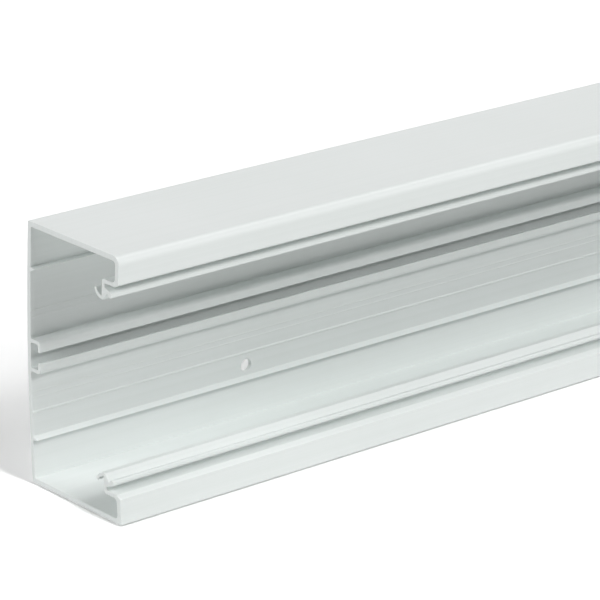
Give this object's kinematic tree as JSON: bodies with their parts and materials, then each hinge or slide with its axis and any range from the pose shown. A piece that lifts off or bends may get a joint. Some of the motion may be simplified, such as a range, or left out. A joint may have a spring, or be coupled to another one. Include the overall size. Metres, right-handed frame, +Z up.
{
  "type": "cable trunking base",
  "caption": "Straight length of white PVC wall trunking: a deep C section, open at the front, with snap clips for a cover, a C-rail on its back plate and screw holes to the wall.",
  "frame": {"origin": "middle of the length and of the depth, on the underside", "axes": "+X along the length, +Y from the open front to the wall, +Z up"},
  "size_m": [2, 0.053, 0.1],
  "materials": {
    "white_pvc": "satin, as extruded"
  },
  "bodies": {
    "root": {"trunking_base": "white_pvc"}
  },
  "joints": []
}
